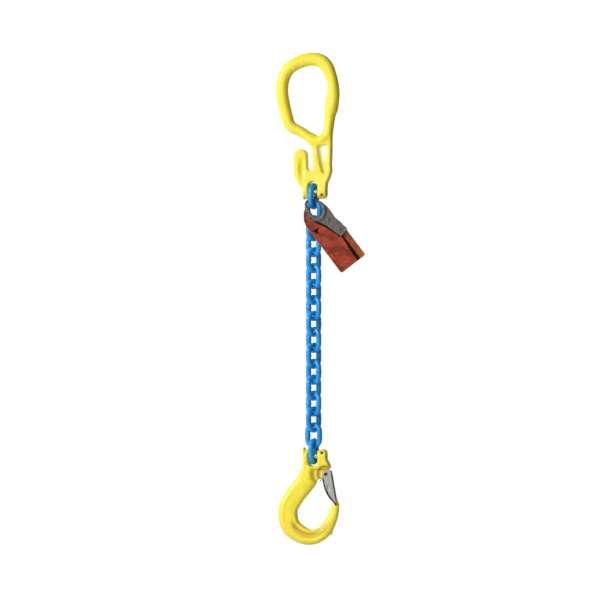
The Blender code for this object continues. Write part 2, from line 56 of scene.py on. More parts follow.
# Sizes that the CAD model sets
WIRE_D, PITCH, LINKS = 8.0, 24.0, 17
INNER_LENGTH, INNER_WIDTH = 24.3, 13.4
CHAIN_X, LAY = 6.8, 35.0
TOP_LAY, BOTTOM_LAY = (14.0, 25.0), (24.0, 12.0)
SLOT, SLOT_LOW_X, SLOT_HIGH_X, SLOT_DEPTH = 13.4, 0.1, 13.5, 15.3
THIN_EAR, LOCK_EAR, EAR_RADIUS, EAR_TAPER = 9.0, 13.5, 11.0, (4.0, 22.0)
LOAD_PIN_D, LOCK_PIN_D, LOCK_PIN_WALL, NECK_D, GAP = 10.0, 3.5, 0.8, 6.0, 0.3
LOCK_X, LOCK_OFFSET = 21.0, 5.05
TOP_PIN_Z, FIRST_LINK_Z, HOOK_PIN_Z = -189.8, -196.65, -587.5
EYE_FOOT_Z, GRAB_HALF, POCKET_DEPTH = -115.0, 8.6, 5.5
SHANK_HALF, BOSS_HALF, BOSS_BACK = 9.6, 5.2, 0.6
LATCH_AXIS, LATCH_PIN_D, LATCH_SHEET, LATCH_GAP, LATCH_POCKET = (26.0, -614.5), 4.5, 1.8, 0.6, 20.0
SPRING_WIRE_D, SPRING_TURNS, SPRING_START, SPRING_END, SPRING_PITCH = 1.2, 2, 150, -23, 1.35
TAG_EYE, TAG_TILT, CLIP_TILT, TAG_RING_D = (16.2, -220.05), 37.3, 51.5, 3.4
REAR_LEAF_Y, FRONT_LEAF_Y, CLIP_Y, LEAF_T, CLIP_SHEET = -13.07, -14.97, -16.87, 1.6, 1.5
LEAF_WIDTH, LEAF_END, LEAF_EDGE, LEAF_STEP, CLIP_LENGTH, RIVET_D = 45.7, 95.0, 17.9, 9.5, 51.5, 3.0

# How much further the left ears reach at their outer edge
GRAB_EAR_EXTRA, HOOK_EAR_EXTRA = 3.6, 4.0


# --- curves and distances ---

def smooth_path(points, steps, closed):
    """Catmull-Rom points through the given rows."""
    rows = np.array(points, float)
    count = len(rows)
    out = []
    for i in range(count if closed else count - 1):
        if closed:
            a, b, c, d = (rows[(i + k) % count] for k in (-1, 0, 1, 2))
        else:
            a, b, c, d = (rows[min(max(i + k, 0), count - 1)] for k in (-1, 0, 1, 2))
        for s in range(steps):
            t = s / steps
            out.append(0.5 * (2 * b + (c - a) * t + (2 * a - 5 * b + 4 * c - d) * t**2
                              + (3 * b - a - 3 * c + d) * t**3))
    if not closed:
        out.append(rows[-1])
    return np.array(out)


def arc(centre, radius, start, end, steps):
    angles = np.radians(np.linspace(start, end, steps + 1))
    return [(centre[0] + radius * math.cos(a), centre[1] + radius * math.sin(a)) for a in angles]


def along_path(path, closed, *place):
    """For each place: the distance to the path, its fraction in rows, and the side it lies on."""
    points = path if not closed else np.vstack([path, path[:1]])
    size = len(place)
    best = np.full(np.broadcast(*place).shape, 1e9)
    row, side = np.zeros_like(best), np.zeros_like(best)
    for i in range(len(points) - 1):
        start, run = points[i, :size], points[i + 1, :size] - points[i, :size]
        away = [p - s for p, s in zip(place, start)]
        t = np.clip(sum(a * r for a, r in zip(away, run)) / max(run @ run, 1e-9), 0, 1)
        far = np.sqrt(sum((a - t * r) ** 2 for a, r in zip(away, run)))
        near = far < best
        best = np.where(near, far, best)
        row = np.where(near, i + t, row)
        if size == 2:
            side = np.where(near, np.sign(run[0] * away[1] - run[1] * away[0]), side)
    return best, row, side


def polygon(outline, x, z):
    """Signed distance to an outline of (x, z) points, below zero inside."""
    points = np.array(outline, float)
    far, inside = np.full(np.broadcast(x, z).shape, 1e9), np.zeros(np.broadcast(x, z).shape, bool)
    for (x0, z0), (x1, z1) in zip(points, np.roll(points, -1, axis=0)):
        run_x, run_z = x1 - x0, z1 - z0
        t = np.clip(((x - x0) * run_x + (z - z0) * run_z) / max(run_x**2 + run_z**2, 1e-9), 0, 1)
        far = np.minimum(far, np.hypot(x - x0 - t * run_x, z - z0 - t * run_z))
        if z0 != z1:
            inside ^= ((z0 > z) != (z1 > z)) & (x < x0 + (z - z0) * run_x / run_z)
    return np.where(inside, -far, far)


def soften(field, times):
    """Rounds the edges of a field of distances."""
    for _ in range(times):
        for axis in range(field.ndim):
            if field.shape[axis] > 2:
                ahead = np.concatenate([np.take(field, range(1, field.shape[axis]), axis),
                                        np.take(field, [-1], axis)], axis)
                behind = np.concatenate([np.take(field, [0], axis),
                                         np.take(field, range(field.shape[axis] - 1), axis)], axis)
                field = field / 2 + (ahead + behind) / 4
    return field


def union(a, b, fillet):
    """Either field, filled out where they meet."""
    h = np.clip(0.5 + 0.5 * (b - a) / fillet, 0, 1)
    return b + (a - b) * h - fillet * h * (1 - h)


def cut(a, b, fillet):
    """The first field less the second, with the new edge eased."""
    return -union(-a, b, fillet)


def both(a, b, edge):
    """Where both fields are inside, with outer edges of that radius."""
    a, b = a + edge, b + edge
    return np.minimum(np.maximum(a, b), 0) + np.hypot(np.maximum(a, 0), np.maximum(b, 0)) - edge


def step_up(value, low, high):
    t = np.clip((value - low) / (high - low), 0, 1)
    return t * t * (3 - 2 * t)


def hump(value, centre, width):
    return np.exp(-((value - centre) / width) ** 2)


def forged_bar(stations, square, closed, x, y, z, shape=None):
    """A bar with squarish sections along stations (x, z, half width, half depth)."""
    path = smooth_path(stations, 8, closed)
    far, row, side = along_path(path, closed, x, z)
    wrapped = np.vstack([path, path[:1]])
    rows = np.arange(len(wrapped))
    wide, deep = (np.interp(row, rows, wrapped[:, k]) for k in (2, 3))
    if shape:
        wide, deep = shape(far * side / wide, row / 8, wide, deep)
    u, v = far / wide, np.abs(y) / deep
    k = (u**square + v**square) ** (1 / square) + 1e-6
    slope = k ** (1 - square) * np.hypot(u ** (square - 1) / wide, v ** (square - 1) / deep)
    return np.maximum((k - 1) / np.maximum(slope, 1e-3), -np.minimum(wide, deep))


class Grid:
    """A box of sample points, in millimetres."""

    def __init__(self, low, high, step):
        self.low = np.array(low, float)
        self.step = np.array(step if hasattr(step, "__len__") else (step,) * 3, float)
        counts = np.ceil((np.array(high) - self.low) / self.step).astype(int) + 1
        axes = [self.low[k] + self.step[k] * np.arange(counts[k]) for k in range(3)]
        self.x, self.y, self.z = np.meshgrid(*axes, indexing="ij", sparse=True)

    def surface(self, field):
        """Vertices and quads on the zero level of a field (surface nets)."""
        field = np.array(np.broadcast_to(field, np.broadcast(self.x, self.y, self.z).shape))
        inside = field < 0
        size = np.array(field.shape) - 1
        corners = [(i, j, k) for i in (0, 1) for j in (0, 1) for k in (0, 1)]
        count = sum(inside[i:i + size[0], j:j + size[1], k:k + size[2]].astype(np.int8)
                    for i, j, k in corners)
        cells = np.argwhere((count > 0) & (count < 8))
        index = np.full(size, -1)
        index[tuple(cells.T)] = np.arange(len(cells))
        total, hits = np.zeros((len(cells), 3)), np.zeros(len(cells))
        for a in corners:
            for axis in range(3):
                if a[axis]:
                    continue
                b = tuple(1 if i == axis else a[i] for i in range(3))
                low, high = field[tuple((cells + a).T)], field[tuple((cells + b).T)]
                crossed = (low < 0) != (high < 0)
                point = np.tile(np.array(a, float), (crossed.sum(), 1))
                point[:, axis] += low[crossed] / (low[crossed] - high[crossed])
                total[crossed] += point
                hits[crossed] += 1
        places = self.settle(field, cells + total / hits[:, None])
        quads = np.vstack([self.sides(inside, index, axis) for axis in range(3)])
        return self.low + self.step * places, quads

    def settle(self, field, places):
        """Moves the points, given in cells, onto the zero level."""
        for _ in range(3):
            value = sample(field, places)
            slope = np.stack([sample(field, places + e) - sample(field, places - e)
                              for e in np.eye(3) * 0.5], 1)
            slope /= self.step
            move = value[:, None] * slope / np.maximum((slope**2).sum(1), 0.05)[:, None] / self.step
            places = places - np.clip(move, -0.4, 0.4)
        return places

    def sides(self, inside, index, axis):
        low = np.take(inside, range(inside.shape[axis] - 1), axis)
        high = np.take(inside, range(1, inside.shape[axis]), axis)
        edges = np.argwhere(low != high)
        u, v = np.eye(3, dtype=int)[(axis + 1) % 3], np.eye(3, dtype=int)[(axis + 2) % 3]
        quads = np.stack([index[tuple((edges - a).T)] for a in (u + v, v, 0 * u, u)], 1)
        turned = ~low[tuple(edges.T)]
        quads[turned] = quads[turned][:, ::-1]
        return quads


def sample(field, places):
    """The field between its grid points."""
    places = np.clip(places, 0, np.array(field.shape) - 1.001)
    base = places.astype(int)
    part = places - base
    out = 0
    for i in (0, 1):
        for j in (0, 1):
            for k in (0, 1):
                share = ((part[:, 0] if i else 1 - part[:, 0]) * (part[:, 1] if j else 1 - part[:, 1])
                         * (part[:, 2] if k else 1 - part[:, 2]))
                out = out + share * field[base[:, 0] + i, base[:, 1] + j, base[:, 2] + k]
    return out


# --- meshes ---

def piece(name, points, faces, look, body, node=None, slot=None, second=None):
    """A smooth piece from points in millimetres. It rides on body and stands for the node.
    second is (look, test), for the faces whose middles (x, y, z) pass the test."""
    mesh = bpy.data.meshes.new(name)
    mesh.from_pydata((np.asarray(points) * MM).tolist(), [], [list(f) for f in faces])
    mesh.validate()
    mesh.materials.append(look)
    mesh.shade_smooth()
    if second:
        mesh.materials.append(second[0])
        middles = np.empty(len(mesh.polygons) * 3)
        mesh.polygons.foreach_get("center", middles)
        mesh.polygons.foreach_set("material_index", second[1](*(middles.reshape(-1, 3).T / MM)).astype(int))
    obj = bpy.data.objects.new(name, mesh)
    bpy.context.scene.collection.objects.link(obj)
    if volume(obj.data) < 0:
        mesh.flip_normals()
    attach(obj, body)
    if node:
        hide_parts(node)
    return obj


def volume(mesh):
    mesh.calc_loop_triangles()
    points = np.empty(len(mesh.vertices) * 3)
    mesh.vertices.foreach_get("co", points)
    faces = np.empty(len(mesh.loop_triangles) * 3, int)
    mesh.loop_triangles.foreach_get("vertices", faces)
    return np.linalg.det(points.reshape(-1, 3)[faces.reshape(-1, 3)]).sum()


def tube(points, radii, sides, closed):
    """Vertices and faces of a round bar through the points, each ring square to the run."""
    points = np.array(points, float)
    count = len(points)
    radii = np.broadcast_to(radii, count)
    if closed:
        aims = np.roll(points, -1, axis=0) - np.roll(points, 1, axis=0)
    else:
        aims = np.gradient(points, axis=0)
    aims /= np.linalg.norm(aims, axis=1)[:, None]
    side = np.cross(aims[0], (0.3, 0.9, 0.2))
    frames = []
    for aim in aims:
        side = side - aim * (side @ aim)
        side /= np.linalg.norm(side)
        frames.append((side, np.cross(aim, side)))
    drift = 0.0
    if closed:
        back = frames[0][0]
        last = frames[-1][0] - aims[0] * (frames[-1][0] @ aims[0])
        drift = math.atan2(last @ frames[0][1], last @ back)
    turn = np.linspace(0, 2 * math.pi, sides, endpoint=False)
    rings = []
    for i, (a, b) in enumerate(frames):
        angle = (turn - drift * i / count)[:, None]
        rings.append(points[i] + radii[i] * (np.cos(angle) * a + np.sin(angle) * b))
    faces = []
    for i in range(count if closed else count - 1):
        j = (i + 1) % count
        faces += [(i * sides + k, i * sides + (k + 1) % sides, j * sides + (k + 1) % sides, j * sides + k)
                  for k in range(sides)]
    if not closed:
        faces += [tuple(range(sides))[::-1], tuple(range((count - 1) * sides, count * sides))]
    return np.vstack(rings), faces


def lathe(centre, axis, profile, sides=48):
    """A turned piece along "X" or "Y". Its profile is (place along, radius)."""
    turn = np.linspace(0, 2 * math.pi, sides, endpoint=False)
    rings = []
    for along, radius in profile:
        c, s, a = radius * np.cos(turn), radius * np.sin(turn), np.full(sides, float(along))
        rings.append(np.stack((a, c, s) if axis == "X" else (c, a, s), 1) + np.array(centre, float))
    faces = []
    for i in range(len(profile) - 1):
        faces += [(i * sides + k, i * sides + (k + 1) % sides, (i + 1) * sides + (k + 1) % sides,
                   (i + 1) * sides + k) for k in range(sides)]
    last = (len(profile) - 1) * sides
    return np.vstack(rings), faces + [tuple(range(sides))[::-1], tuple(range(last, last + sides))]


def crease(obj, degrees):
    obj.data.set_sharp_from_angle(angle=math.radians(degrees))


# --- materials ---

class Look:
    """A procedural material, built up from the piece's own coordinates."""

    def __init__(self, name, metallic=0.0, coat=0.0, coat_roughness=0.1, specular=0.5):
        self.made = bpy.data.materials.new(name)
        self.made.use_nodes = True
        self.tree = self.made.node_tree
        self.shader = self.tree.nodes["Principled BSDF"]
        self.shader.inputs["Metallic"].default_value = metallic
        self.shader.inputs["Coat Weight"].default_value = coat
        self.shader.inputs["Coat Roughness"].default_value = coat_roughness
        self.shader.inputs["Specular IOR Level"].default_value = specular
        self.place = self.node("ShaderNodeTexCoord").outputs["Object"]

    def node(self, kind, **inputs):
        made = self.tree.nodes.new(kind)
        for name, value in inputs.items():
            socket = made.inputs[name.replace("_", " ")]
            if isinstance(value, bpy.types.NodeSocket):
                self.tree.links.new(value, socket)
            else:
                socket.default_value = value
        return made

    def noise(self, scale, detail=3.0, roughness=0.55, place=None):
        return self.node("ShaderNodeTexNoise", Vector=place or self.place, Scale=scale, Detail=detail,
                         Roughness=roughness).outputs["Fac"]

    def stretched(self, scale):
        return self.node("ShaderNodeMapping", Vector=self.place, Scale=scale).outputs["Vector"]

    def ramp(self, value, stops):
        """Colours or levels at places from 0 to 1."""
        made = self.node("ShaderNodeValToRGB", Fac=value)
        elements = made.color_ramp.elements
        for i, (at, colour) in enumerate(stops):
            element = elements[i] if i < 2 else elements.new(at)
            element.position = at
            element.color = (*colour, 1.0) if hasattr(colour, "__len__") else (colour, colour, colour, 1.0)
        return made.outputs["Color"]

    def mix(self, share, a, b):
        made = self.tree.nodes.new("ShaderNodeMix")
        made.data_type = "RGBA"
        for socket, value in ((made.inputs[0], share), (made.inputs[6], a), (made.inputs[7], b)):
            if isinstance(value, bpy.types.NodeSocket):
                self.tree.links.new(value, socket)
            else:
                socket.default_value = value if socket == made.inputs[0] else (*value, 1.0)
        return made.outputs[2]

    def recess(self, low, high):
        """1 at the top of a box about the middle plane, fading towards its foot, and 0 outside."""
        apart, rim = self.node("ShaderNodeSeparateXYZ", Vector=self.place).outputs, 0.0015
        share = self.fade(apart["Z"], low[2], high[2])
        for k, axis in enumerate("XY"):
            share = self.times(share, self.fade(apart[axis], low[k], low[k] + rim))
            share = self.times(share, self.fade(apart[axis], high[k], high[k] - rim))
        return self.times(share, self.fade(apart["Z"], high[2] + 0.002, high[2]))

    def ring(self, x, z, radius, half, limit):
        """1 on a circle about (x, z), fading over half its width, within the limit (axis, start, end)."""
        flat = self.node("ShaderNodeMapping", Vector=self.place, Scale=(1.0, 0.0, 1.0)).outputs["Vector"]
        made = self.tree.nodes.new("ShaderNodeVectorMath")
        made.operation = "DISTANCE"
        self.tree.links.new(flat, made.inputs[0])
        made.inputs[1].default_value = (x, 0.0, z)
        away = made.outputs["Value"]
        share = self.times(self.fade(away, radius - half, radius), self.fade(away, radius + half, radius))
        apart = self.node("ShaderNodeSeparateXYZ", Vector=self.place).outputs
        return self.times(share, self.fade(apart[limit[0]], limit[1], limit[2]))

    def fade(self, value, start, end):
        made = self.node("ShaderNodeMapRange", Value=value)
        made.interpolation_type = "SMOOTHSTEP"
        made.inputs["From Min"].default_value, made.inputs["From Max"].default_value = start, end
        return made.outputs["Result"]

    def times(self, a, b):
        made = self.tree.nodes.new("ShaderNodeMath")
        made.operation = "MULTIPLY"
        self.tree.links.new(a, made.inputs[0])
        self.tree.links.new(b, made.inputs[1])
        return made.outputs[0]

    def pointy(self, low, high):
        point = self.node("ShaderNodeNewGeometry").outputs["Pointiness"]
        return self.ramp(point, [(low, 0.0), (high, 1.0)])

    def bump(self, height, strength, distance, below=None):
        inputs = {"Height": height, "Strength": strength, "Distance": distance}
        if below:
            inputs["Normal"] = below
        return self.node("ShaderNodeBump", **inputs).outputs["Normal"]

    def finish(self, colour, roughness, normal):
        for name, value in (("Base Color", colour), ("Roughness", roughness), ("Normal", normal)):
            self.tree.links.new(value, self.shader.inputs[name])
        return self.made


def forged_paint(name, pale=None, rings=()):
    """Thick yellow paint on a forging: soft waviness, fine grain, painted shade in the hollows, a painted
    highlight on the edges.
    pale is the box, in metres, of a recess with a painted highlight, nearly white at its top.
    rings are bands (x, z, radius, half width, colour, limit) of painted shade in that colour."""
    look = Look(name, coat=0.22, coat_roughness=0.18, specular=0.38)
    tone = look.ramp(look.noise(38.0, 4.0), [(0.3, (0.82, 0.68, 0.028)), (0.72, (0.90, 0.78, 0.05))])
    blush = look.ramp(look.noise(11.0, 2.0), [(0.42, 0.0), (0.75, 0.35)])
    tone = look.mix(blush, tone, (0.84, 0.60, 0.015))
    # Painted shade: darker orange where the surface is hollow.
    hollow_shade = look.ramp(look.pointy(0.42, 0.50), [(0.0, 1.0), (0.75, 0.0)])
    tone = look.mix(hollow_shade, tone, (0.66, 0.38, 0.006))
    # Painted highlight: nearly white in the recess, brightest at its top and fading towards its foot.
    if pale:
        tone = look.mix(look.recess(*pale), tone, (0.93, 0.92, 0.78))
    # Painted shade: bands darker in the given colour.
    for x, z, radius, half, colour, limit in rings:
        tone = look.mix(look.ring(x, z, radius, half, limit), tone, colour)
    # Painted highlight: pale yellow on the sharp edges.
    edge = look.ramp(look.pointy(0.505, 0.60), [(0.0, 0.0), (1.0, 0.5)])
    tone = look.mix(edge, tone, (0.97, 0.90, 0.22))
    speck = look.ramp(look.noise(520.0, 2.0, 0.7), [(0.27, 1.0), (0.30, 0.0)])
    tone = look.mix(speck, tone, (0.50, 0.33, 0.03))
    rough = look.ramp(look.noise(140.0, 3.0), [(0.3, 0.26), (0.7, 0.42)])
    wave = look.bump(look.noise(95.0, 3.0), 0.35, 0.0009)
    return look.finish(tone, rough, look.bump(look.noise(900.0, 2.0), 0.16, 0.0003, wave))


def chain_paint(name):
    """Glossy blue dip paint, with a painted highlight on the crowns of the links."""
    look = Look(name, coat=0.3, specular=0.35)
    tone = look.ramp(look.noise(120.0, 3.0), [(0.3, (0.003, 0.25, 0.66)), (0.7, (0.006, 0.35, 0.82))])
    deep = look.ramp(look.noise(34.0, 2.0), [(0.45, 0.0), (0.7, 0.6)])
    tone = look.mix(deep, tone, (0.002, 0.17, 0.50))
    # Painted highlight: paler blue on the crowns and edges.
    edge = look.ramp(look.pointy(0.51, 0.60), [(0.2, 0.0), (1.0, 0.35)])
    tone = look.mix(edge, tone, (0.03, 0.42, 0.80))
    chip = look.ramp(look.noise(640.0, 3.0, 0.75), [(0.27, 1.0), (0.295, 0.0)])
    tone = look.mix(chip, tone, (0.09, 0.16, 0.25))
    rough = look.ramp(look.noise(260.0, 3.0), [(0.3, 0.16), (0.7, 0.34)])
    wave = look.bump(look.noise(160.0, 3.0), 0.4, 0.0006)
    return look.finish(tone, rough, look.bump(look.noise(1400.0, 2.0), 0.12, 0.0002, wave))


def steel(name, pale, dark, roughness, stretch, tint=(0.30, 0.26, 0.16), metallic=1.0):
    """Plated or bare steel, brushed along its stretched direction, with faint yellow passivation."""
    look = Look(name, metallic=metallic)
    grain = look.noise(220.0, 4.0, 0.6, look.stretched(stretch))
    tone = look.ramp(grain, [(0.3, dark), (0.7, pale)])
    haze = look.ramp(look.noise(70.0, 3.0), [(0.5, 0.0), (0.8, 0.4)])
    tone = look.mix(haze, tone, tint)
    # Painted shade: darker in the crevices.
    crevice_shade = look.ramp(look.pointy(0.40, 0.495), [(0.0, 0.75), (1.0, 0.0)])
    tone = look.mix(crevice_shade, tone, tuple(c * 0.35 for c in dark))
    # Painted highlight: brighter on the sharp edges.
    edge = look.ramp(look.pointy(0.51, 0.6), [(0.0, 0.0), (1.0, 0.6)])
    tone = look.mix(edge, tone, tuple(min(1.0, c * 1.5) for c in pale))
    rough = look.ramp(look.noise(300.0, 3.0), [(0.3, roughness - 0.08), (0.7, roughness + 0.1)])
    return look.finish(tone, rough, look.bump(grain, 0.2, 0.0002))


def moulded(name, colour, deep, grain, gloss=0.4):
    """Tough moulded plastic with a leather-fine grain, painted shade in its hollows and a painted highlight
    on its edges.
    """
    look = Look(name, coat=0.3 * gloss, coat_roughness=0.3, specular=gloss)
    tone = look.ramp(look.noise(52.0, 5.0, 0.7), [(0.3, deep), (0.65, colour)])
    smear = look.ramp(look.noise(34.0, 5.0, 0.7, look.stretched((1.0, 1.0, 2.2))), [(0.47, 0.0), (0.62, 0.8)])
    tone = look.mix(smear, tone, tuple(c * 0.45 for c in deep))
    # Painted shade: darker in the hollows.
    hollow_shade = look.ramp(look.pointy(0.42, 0.495), [(0.0, 0.8), (1.0, 0.0)])
    tone = look.mix(hollow_shade, tone, tuple(c * 0.3 for c in deep))
    # Painted highlight: paler on the edges.
    edge = look.ramp(look.pointy(0.505, 0.58), [(0.0, 0.0), (1.0, 0.45)])
    tone = look.mix(edge, tone, tuple(min(1.0, c * 1.5 + 0.02) for c in colour))
    rough = look.ramp(look.noise(180.0, 3.0), [(0.3, 0.36), (0.7, 0.58)])
    return look.finish(tone, rough, look.bump(look.noise(grain, 3.0), 0.3, 0.00025))


def floor_look():
    look = Look("studio_floor")
    tone = look.ramp(look.noise(6.0, 4.0), [(0.3, 0.80), (0.7, 0.83)])
    rough = look.ramp(look.noise(20.0, 3.0), [(0.3, 0.6), (0.7, 0.75)])
    return look.finish(tone, rough, look.bump(look.noise(90.0, 3.0), 0.08, 0.0005))


# Painted shade on the hook: a golden-brown crescent and a wider golden band, darker towards the bottom, below
# the bowl, and a dark brown arc left of the latch's axis.
HOOK_YELLOW = forged_paint("hook_yellow_paint", None, (
    (0.0015, -0.6780, 0.0280, 0.0075, (0.58, 0.40, 0.010), ("Z", -0.682, -0.694)),
    (0.0020, -0.6720, 0.0520, 0.0120, (0.76, 0.55, 0.012), ("Z", -0.650, -0.700)),
    (0.0260, -0.6145, 0.0115, 0.0042, (0.34, 0.20, 0.008), ("X", 0.0335, 0.0285))))
# Painted highlight on the grab: the recess in the spine, nearly white at its top.
GRAB_YELLOW = forged_paint("grab_yellow_paint", ((0.0130, -0.0062, -0.160), (0.0300, 0.0062, -0.1165)))
BLUE = chain_paint("chain_blue_paint")
PLATED = steel("plated_latch_steel", (0.46, 0.48, 0.47), (0.30, 0.32, 0.31), 0.45, (1.0, 1.0, 6.0),
               metallic=0.7)
BRIGHT = steel("bright_pin_steel", (0.66, 0.65, 0.60), (0.44, 0.43, 0.40), 0.34, (5.0, 1.0, 1.0))
DARK = steel("dark_pin_steel", (0.20, 0.19, 0.18), (0.09, 0.085, 0.08), 0.4, (5.0, 1.0, 1.0),
             (0.12, 0.09, 0.05))
CLIP = steel("tag_clip_steel", (0.155, 0.145, 0.135), (0.065, 0.06, 0.055), 0.55, (3.0, 1.0, 3.0),
             (0.10, 0.08, 0.06), 0.55)
# Painted shade: a near black steel look, put on the latch's fold and tip and on the middle of its rivet.
LATCH_SHADE = moulded("latch_painted_shade", (0.050, 0.040, 0.032), (0.016, 0.012, 0.010), 700.0, 0.12)
# Painted shadow: near black plastic for the seam beside the rear leaf, the pointed window and the line below
# the clip.
TAG_SHADOW = moulded("tag_painted_shadow_black", (0.012, 0.005, 0.003), (0.004, 0.002, 0.001), 700.0, 0.04)
RED = moulded("red_tag_plastic", (0.44, 0.060, 0.016), (0.25, 0.026, 0.006), 700.0, 0.16)
ORANGE = moulded("orange_tag_plastic", (0.37, 0.085, 0.012), (0.23, 0.04, 0.005), 700.0, 0.16)


# --- forgings ---

def eye_stations():
    return [
        (0.0, 10.0, 10.0, 9), (24.0, 3.0, 9.5, 9), (36.0, -26.0, 8.4, 9), (35.2, -52.0, 9.2, 9),
        (31.6, -80.0, 7.6, 9), (29.0, -97.0, 7.2, 9), (23.5, -107.5, 7.0, 9), (14.0, -112.2, 7.2, 9),
        (2.0, -108.0, 7.4, 9),
        (-14.0, -98.5, 7.5, 9), (-27.5, -91.0, 8.2, 9), (-34.0, -76.0, 8.6, 9), (-41.5, -34.0, 9.0, 9),
        (-31.0, -4.0, 9.6, 9),
    ]


def grab_outline():
    left, right = SLOT_LOW_X - THIN_EAR, SLOT_HIGH_X + LOCK_EAR
    pin, low = TOP_PIN_Z, TOP_PIN_Z - EAR_RADIUS - 1.5
    return [
        (33.0, EYE_FOOT_Z + 17), (34.9, EYE_FOOT_Z + 8), (34.6, pin + 55), (34.0, pin + 40), (34.8, pin + 32),
        (32.0, pin + 22),
        (right + 0.8, pin + 13), (right, pin + 4), (right, low + 5), (right - 2, low + 1), (right - 6, low),
        (left + 5, low), (left + 1.5, low + 1.5), (left, low + 5), (left, pin + 6), (-17.5, pin + 14),
        (-22.4, pin + 26),
        *arc((-12.5, pin + 54.5), 10.0, 180, 0, 12), *arc((2.4, pin + 36.0), 4.7, 180, 360, 12),
        (6.8, EYE_FOOT_Z - 13), (4.0, EYE_FOOT_Z - 6), (-1.0, EYE_FOOT_Z), (-1.0, EYE_FOOT_Z + 5),
        (12.0, EYE_FOOT_Z + 5), (24.0, EYE_FOOT_Z + 11),
    ]


def pocket_outline():
    pin = TOP_PIN_Z
    return [(14.6, EYE_FOOT_Z - 6), (27.4, EYE_FOOT_Z - 5), (28.2, pin + 52), (27.6, pin + 34),
            (24.0, pin + 27), (20.4, pin + 31), (16.0, pin + 52)]


def depth_outline(pin_z, chain_side, far_z, far_half):
    """Front to back: ears round about the load pin, then a taper to the plate, as (y, z)."""
    ears = [(y, pin_z + chain_side * z) for y, z in arc((0, 0), EAR_RADIUS, 180, 0, 20)]
    near, flat = pin_z - chain_side * EAR_TAPER[0], pin_z - chain_side * EAR_TAPER[1]
    return ears + [(EAR_RADIUS, near), (far_half, flat), (far_half, far_z), (-far_half, far_z),
                   (-far_half, flat), (-EAR_RADIUS, near)]


def long_ear(outline, x, y, z, pin_z, chain_side, extra):
    """The left ear, whose outer edge reaches further along the chain."""
    more = chain_side * extra * (1 - step_up(x, -8.4, -5.0)) * step_up((z - pin_z) * chain_side, -2, 8)
    tip = np.hypot(y, np.maximum((z - more - pin_z) * chain_side, 0)) - EAR_RADIUS
    ear = both(soften(polygon(outline, x, z - more), 3), tip, 2.2)
    return np.maximum(ear, np.maximum(x - SLOT_LOW_X - 2, (pin_z - z) * chain_side - 2))


def cut_clevis(field, grid, pin_z, chain_side):
    """The slot with its flares, the load pin's bore with its countersinks, and the lock pin's hole."""
    x, y, z = grid.x - CHAIN_X, grid.y, grid.z
    root = pin_z - chain_side * (SLOT_DEPTH - SLOT / 2)
    beyond = np.maximum((root - z) * chain_side, 0)
    slot = np.hypot(x, beyond) - SLOT / 2 - 0.8 * np.maximum(np.abs(y) - EAR_RADIUS + 3, 0)
    field = cut(field, slot, 1.2)
    bore = np.hypot(y, z - pin_z) - LOAD_PIN_D / 2 - GAP
    field = cut(field, bore + 0 * x, 0.8)
    hole = np.hypot(grid.x - LOCK_X, z - pin_z - chain_side * LOCK_OFFSET) - LOCK_PIN_D / 2 - GAP
    return cut(field, hole - 0.35 * hump(np.abs(y), EAR_RADIUS, 1.5), 0.7)


def forged_skin(x, y, z, depth):
    """The gentle unevenness of a hammered and shot-blasted surface."""
    broad = np.sin(x * 0.21 + 1.3) * np.sin(z * 0.17 + y * 0.23)
    return depth * (broad + 0.5 * np.sin(x * 0.47 - z * 0.39 + 2.1) * np.sin(y * 0.43 + z * 0.11))


def master_grab():
    grid = Grid((-54, -14, -205), (50, 14, 24), 0.75)
    x, y, z = grid.x, grid.y, grid.z

    def swell(side, row, wide, deep):
        outer = step_up(row, 2.2, 2.7) * (1 - step_up(row, 3.58, 3.72)) * step_up(side, -0.2, 0.5)
        inner = step_up(row, 3.0, 3.12) * (1 - step_up(row, 3.6, 4.2)) * step_up(-side, -0.2, 0.5)
        return wide + 1.3 * outer + 1.0 * inner, deep + 0.35 * np.maximum(outer, inner)

    eye = forged_bar(eye_stations(), 2.25, True, x, y, z, swell)
    outline = soften(polygon(grab_outline(), x, z), 6)
    ears = polygon(depth_outline(TOP_PIN_Z, -1, 0, GRAB_HALF), y, z)
    body = both(outline, ears, 2.2)
    body = np.minimum(body, long_ear(grab_outline(), x, y, z, TOP_PIN_Z, -1, GRAB_EAR_EXTRA))
    field = union(eye, body, 6.0)
    inward = GRAB_HALF - np.abs(y)
    pocket = soften(polygon(pocket_outline(), x, z), 4) + 0.16 * inward - 0.9
    field = cut(field, np.maximum(pocket, inward - POCKET_DEPTH), 2.0)
    cradle = np.hypot(np.hypot((x + 9.6) * 1.25, (z + 156) * 0.42), (np.abs(y) - GRAB_HALF - 6.5) * 0.9) - 8.0
    field = cut(field, cradle, 3.0)
    field = cut_clevis(field, grid, TOP_PIN_Z, -1)
    field = soften(field, 2) + forged_skin(x, y, z, 0.07) - 0.14 * hump(y, 0, 0.9)
    piece("grab_forging", *grid.surface(field), GRAB_YELLOW, "grab", "master_grab", "yellow_paint")


def hook_stations():
    rows = [
        (-3.0, -27.0, 15.5, 10.5), (-15.0, -43.5, 14.6, 10.2), (-29.0, -61.5, 14.4, 10.0),
        (-39.0, -82.0, 14.3, 10.2), (-35.0, -105.5, 14.1, 10.4), (-18.0, -119.0, 13.0, 10.4),
        (0.0, -121.6, 11.6, 10.0), (17.0, -112.5, 10.0, 9.0), (28.0, -94.0, 8.2, 7.2),
        (32.0, -80.0, 6.6, 5.2), (33.8, -72.0, 5.2, 4.0), (34.3, -68.8, 3.0, 2.4),
    ]
    return [(CHAIN_X + x, HOOK_PIN_Z + z, wide, deep) for x, z, wide, deep in rows]


